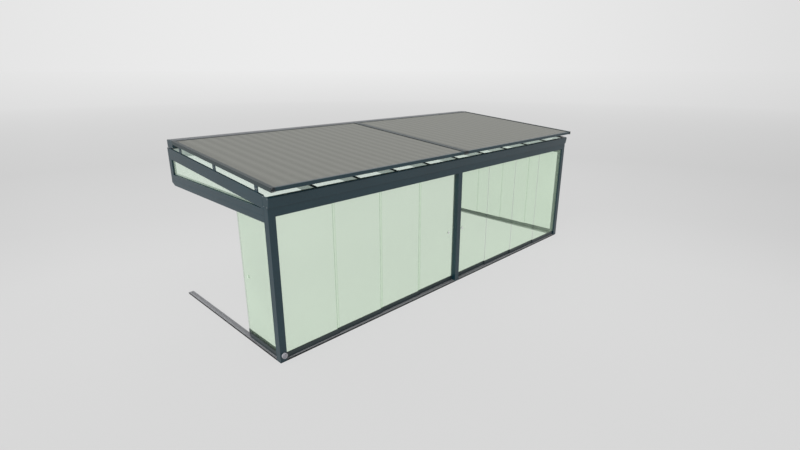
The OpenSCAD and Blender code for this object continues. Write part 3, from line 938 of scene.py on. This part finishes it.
def build_floor_tracks():
    for side in ("left", "right"):
        name = "floor_track_front_" + side
        (x0, _, _), (x1, _, _) = span(name)
        bm = bmesh.new()
        along_x(bm, floor_outline(), x0 + 0.3, x1 - 0.3)
        darken_sides_with_painted_shade(bm, (0, 1, 0))
        piece(name + "_profile", bm, [track_metal_x, rubber],
              stands_for=[name], bevel=0.5)
        name = "floor_track_" + side
        (_, y0, _), (_, y1, _) = span(name)
        s = -1 if side == "left" else 1
        bm = bmesh.new()
        along_y(bm, [(s * (HALF - u), z) for u, z in floor_outline()], y0 + 0.3, y1 - 0.3)
        darken_sides_with_painted_shade(bm, (-s, 0, 0))
        piece(name + "_profile", bm, [track_metal_y, rubber],
              stands_for=[name], bevel=0.5)
    bm = bmesh.new()
    h = span("floor_track_left")[1][2]
    for side, s in (("left", -1), ("right", 1)):
        (x0, _, _), (x1, _, _) = span("floor_track_front_" + side)
        for i in range(8):
            x = x0 + 180 + i * (x1 - x0 - 360) / 7
            screw(bm, (x, 17, h - 2.6), (0, 0, 1), 4.2, 1.2)
        (_, y0, _), (_, y1, _) = span("floor_track_" + side)
        for i in range(6):
            y = y0 + 180 + i * (y1 - y0 - 360) / 5
            screw(bm, (s * (HALF - 17), y, h - 2.6), (0, 0, 1), 4.2, 1.2)
    piece("floor_track_screws", bm, [steel])


def build_drain():
    (x0, y0, z0), (x1, y1, z1) = span("drain_outlet")
    r, l = (x1 - x0) / 2, y1 - y0
    centre = ((x0 + x1) / 2, y1, (z0 + z1) / 2)
    bm = bmesh.new()
    rim = [(0, 0), (r, 0), (r, l - 2), (r - 1.5, l), (r - 5, l), (r - 6, l - 1.2)]
    rim += [(r - 6, l - 3), (0, l - 3)]
    lid = [(0, l - 3.5), (r - 8, l - 3.5), (r - 8, l - 1.6), (r - 9.5, l - 1), (8, l - 1)]
    lid += [(6.5, l - 1.8), (0, l - 1.8)]
    turned(bm, rim, centre, (0, -1, 0), 48, 1)
    turned(bm, lid, centre, (0, -1, 0), 48, 0)
    piece("drain_outlet_cap", bm, [drain_grey, drain_rim],
          stands_for=["drain_outlet"])


# ------------------------------------------------------------------ sliding panels
KNOB_Z, KNOB_IN = 1043.0, 146.0


def build_panel(name, node, body, lo, hi, wall, k, leading, lap=0.0):
    """lo and hi are the panel's corners; wall is front, left or right; leading is the end
    (-1 or 1 along the wall) with the finger pull on the last panel. lap is how far it and
    its neighbours overlap: there each pane takes half of the tint."""
    along_front = wall == "front"
    s = {"front": 0, "left": -1, "right": 1}[wall]
    u0, u1 = (lo[0], hi[0]) if along_front else (lo[1], hi[1])
    z0, z1 = lo[2], hi[2]
    pane_top, rail_top = z1, z0 + 85
    c = lane(k)
    axis = (0, 1, 0) if along_front else (-s, 0, 0)

    def bar(bm, outline, *stations, mat=0, ends=None):
        """outline holds (offset across from the lane's middle, inwards, and height)."""
        place = (lambda u, v, z: at(u, c + v, z)) if along_front else (
            lambda u, v, z: at(s * (HALF - c - v), u, z))
        loft(bm, [[place(u, v, z) for v, z in outline] for u in stations], mat, ends)

    bm = bmesh.new()
    low_lap, high_lap = (lap if k > 1 else 0, lap if k < PANELS else 0)[::leading]
    cuts = sorted({u0, u0 + low_lap, u1 - high_lap, u1})
    bar(bm, box_outline(-4, rail_top - 12, 4, pane_top), *cuts, ends=1)
    for face in bm.faces:
        u = face.calc_center_median().x / MM
        if lap and face.material_index == 0 and not u0 + low_lap < u < u1 - high_lap:
            face.material_index = 2
    piece(name + "_pane", bm, [front_pane if along_front else side_pane, glass_edge, front_lap],
          body, stands_for=[node], bevel=0.7)
    bm = bmesh.new()
    t = 5.0
    outline = [
        (-t + 1, z0), (t - 1, z0), (t, z0 + 2), (t, z0 + 13), (t - 0.9, z0 + 14),
        (t - 0.9, z0 + 16), (t, z0 + 17), (t, rail_top - 3), (t - 1, rail_top - 0.6),
        (4.1, rail_top - 0.6), (4.1, rail_top - 11), (-4.1, rail_top - 11),
        (-4.1, rail_top - 0.6), (-t + 1, rail_top - 0.6), (-t, rail_top - 3),
        (-t, z0 + 17), (-t + 0.9, z0 + 16), (-t + 0.9, z0 + 14), (-t, z0 + 13), (-t, z0 + 2),
    ]
    bar(bm, outline, u0 + 2.5, u1 - 2.5)
    bar(bm, box_outline(-4.8, z0 + 0.2, 4.8, rail_top - 12), u0, u0 + 2.5, mat=1)
    bar(bm, box_outline(-4.8, z0 + 0.2, 4.8, rail_top - 12), u1 - 2.5, u1, mat=1)
    piece(name + "_rail", bm, [coat_rail, end_cap], body, bevel=0.35)
    # glazing bead over the rail and a seal on the edge where panels overlap
    bm = bmesh.new()
    for v in (-1, 1):
        a, b = sorted((v * 4.1, v * 5.0))
        bar(bm, box_outline(a, rail_top - 0.6, b, rail_top), u0 + 2.5, u1 - 2.5)
    piece(name + "_bead", bm, [rubber], body)
    sealed = k < PANELS if along_front and lo[0] >= 0 else k > 1
    if sealed:
        bm = bmesh.new()
        seal_top = PASSAGE - (3 if along_front else 95)
        for a, b in ((-5.2, -4.05), (4.05, 5.2)):
            strip = [(a, rail_top + 1), (a, seal_top), (b, seal_top), (b, rail_top + 1)]
            bar(bm, strip, u0, u0 + 4)
        piece(name + "_seal", bm, [glass_edge], body, bevel=0.3)
    if k == PANELS:
        bm = bmesh.new()
        u = (u1 - KNOB_IN) if leading > 0 else (u0 + KNOB_IN)
        for side in (-1, 1):
            out = 1.8 if side < 0 else 9.0
            v = c + side * 4
            centre = (u, v, KNOB_Z) if along_front else (s * (HALF - v), u, KNOB_Z)
            way = tuple(side * a for a in axis)
            dish = 1.2 if side < 0 else 6.0
            rim = [(0, 0), (24, 0), (24, out * 0.7), (22.5, out), (19, out)]
            turned(bm, rim + [(17, out - dish * 0.8), (0, out - dish)], centre, way, 32)
        piece(name + "_pull", bm, [pull_metal], body)


def build_panels():
    for side, s in (("left", -1), ("right", 1)):
        nodes = {k: f"front_{side}_panel_{k}" for k in range(2, PANELS + 1)}
        lo2, hi2 = span(nodes[2])
        step = span(nodes[3])[0][0] - lo2[0]
        lap = hi2[0] - lo2[0] - abs(step)
        for k in range(1, PANELS + 1):
            if k > 1:
                lo, hi = span(nodes[k])
                build_panel(nodes[k] + "_v", nodes[k], nodes[k], lo, hi, "front", k, -s, lap)
            else:
                lo = (lo2[0] - step, lo2[1], lo2[2])
                hi = (hi2[0] - step, hi2[1], hi2[2])
                name = f"front_{side}_panel_1"
                build_panel(name, "fixed_panels", "frame", lo, hi, "front", 1, -s, lap)
        nodes = {k: f"{side}_panel_{k}" for k in range(2, PANELS + 1)}
        lo2, hi2 = span(nodes[2])
        lo3, _ = span(nodes[3])
        for k in range(1, PANELS + 1):
            if k > 1:
                lo, hi = span(nodes[k])
                build_panel(nodes[k] + "_v", nodes[k], nodes[k], lo, hi, side, k, 1)
            else:
                step = lo3[1] - lo2[1]
                lo = (lo2[0], lo2[1] - step, lo2[2])
                hi = (hi2[0], hi2[1] - step, hi2[2])
                build_panel(f"{side}_panel_1", "fixed_panels", "frame", lo, hi, side, 1, 1)


build_posts()
build_gutter()
build_top_tracks()
build_headers()
build_rafters()
build_roof_glass()
build_gables()
build_awning()
build_brackets()
build_floor_tracks()
build_drain()
build_panels()

# ------------------------------------------------------------------ stage, light and camera
scene = bpy.context.scene
FLOOR_REACH = 700.0
# The spot of the floor below the camera that build_camera makes, as a constant. The floor's
# colour is graded by distance and direction from it, so it is tied to where that camera stands.
CAMERA_FOOT = (-7.0, -8.6, FLOOR_Z)
GLOW = (0.611, 0.791, 0.0)  # the direction in which the backdrop is palest
FLOOR_EVEN = 0.88  # how much of the floor seen directly is free of shading
GRADED = 80.0  # metres over which the floor's grading runs
AMBIENT = 0.72
KEY = 1.4
KEY_FROM = (-0.85, -0.15, 0.50)


def seen_directly(p):
    """1 for rays of the camera, of mirrors and through glass."""
    path = p.add("LightPath").outputs
    seen = p.math("MAXIMUM", path["Is Camera Ray"], path["Is Glossy Ray"])
    return p.math("MAXIMUM", seen, path["Is Transmission Ray"])


def horizon(p, glow):
    """The backdrop's colour: palest in one direction, a little darker away from it."""
    return p.mix(p.ramp(glow, 0.66, 1.0), srgb(220, 220, 220), srgb(236, 236, 236))


def build_floor():
    """A pale floor, graded from the spot below the camera and clear when seen from below."""
    p = Paint("studio_floor")
    where = p.place()
    off = p.add("VectorMath", {0: where, 1: CAMERA_FOOT}, operation="SUBTRACT").outputs[0]
    far = p.add("VectorMath", {0: off}, operation="LENGTH").outputs["Value"]
    way = p.add("VectorMath", {0: off}, operation="NORMALIZE").outputs[0]
    ramp = p.add("ValToRGB", {"Fac": p.math("DIVIDE", far, GRADED)})
    stops = [(0, 216), (5.5, 217), (8, 219), (11, 219), (15, 214), (24, 209), (40, 214), (65, 223)]
    points = ramp.color_ramp.elements
    while len(points) < len(stops):
        points.new(0.5)
    for point, (distance, level) in zip(points, stops):
        point.position = distance / GRADED
        point.color = srgb(level, level, level)
    glow = p.add("VectorMath", {0: way, 1: GLOW}, operation="DOT_PRODUCT").outputs["Value"]
    dim = p.math("MULTIPLY", p.ramp(glow, 0.88, 0.66), p.ramp(far, 4, 16))
    near = p.mix(dim, (1, 1, 1, 1), srgb(246, 246, 246))
    graded = {0: 1.0, 6: ramp.outputs["Color"], 7: near}
    near = p.add("Mix", graded, data_type="RGBA", blend_type="MULTIPLY").outputs[2]
    near_to_sky = p.ramp(p.math("DIVIDE", 1.0, far), 1 / 60, 1 / FLOOR_REACH)
    colour = p.mix(near_to_sky, near, horizon(p, glow))
    lit = p.add("BsdfDiffuse", {"Color": colour})
    even = p.add("Emission", {"Color": colour, "Strength": 1.0})
    share = p.math("MULTIPLY", seen_directly(p), FLOOR_EVEN)
    top = p.add("MixShader", {0: share, 1: lit.outputs[0], 2: even.outputs[0]})
    under = p.add("NewGeometry").outputs["Backfacing"]
    clear = p.add("BsdfTransparent")
    p.surface(p.add("MixShader", {0: under, 1: top.outputs[0], 2: clear.outputs[0]}))
    mesh = bpy.data.meshes.new("studio_floor")
    steps = 64
    turn = [2 * math.pi * i / steps for i in range(steps)]
    drop = 0.0006
    ring = [(FLOOR_REACH * math.cos(t), FLOOR_REACH * math.sin(t), FLOOR_Z - drop) for t in turn]
    mesh.from_pydata(ring, [], [tuple(range(steps))])
    mesh.materials.append(p.material)
    floor = bpy.data.objects.new("studio_floor", mesh)
    scene.collection.objects.link(floor)


def build_world():
    world = bpy.data.worlds.new("studio")
    world.use_nodes = True
    scene.world = world
    p = Paint.__new__(Paint)
    p.tree = world.node_tree
    p.tree.nodes.clear()
    way = p.add("TexCoord").outputs["Generated"]
    glow = p.add("VectorMath", {0: way, 1: GLOW}, operation="DOT_PRODUCT").outputs["Value"]
    backdrop = horizon(p, glow)
    seen = p.add("Background", {"Color": backdrop, "Strength": 1.0})
    light = p.add("Background", {"Color": (1, 1, 1, 1), "Strength": AMBIENT})
    mixed = p.add("MixShader", {0: seen_directly(p), 1: light.outputs[0], 2: seen.outputs[0]})
    output = p.add("OutputWorld")
    p.tree.links.new(mixed.outputs[0], output.inputs["Surface"])


def build_lamp():
    lamp = bpy.data.lights.new("key", "SUN")
    lamp.energy = KEY
    lamp.angle = math.radians(50)
    key = bpy.data.objects.new("key", lamp)
    key.rotation_euler = Vector(KEY_FROM).to_track_quat("Z", "Y").to_euler()
    scene.collection.objects.link(key)


def build_camera():
    data = bpy.data.cameras.new("camera")
    data.lens, data.sensor_width = 21.713, 36.0
    data.clip_end = 2000.0
    camera = bpy.data.objects.new("camera", data)
    camera.location = (-7.0045, -8.6031, 1.3780)
    camera.rotation_euler = (math.radians(71.955), 0.0, math.radians(-45.0))
    scene.collection.objects.link(camera)
    scene.camera = camera


build_floor()
build_world()
build_lamp()
build_camera()
scene.view_settings.view_transform = "Standard"
scene.cycles.transparent_max_bounces = 64
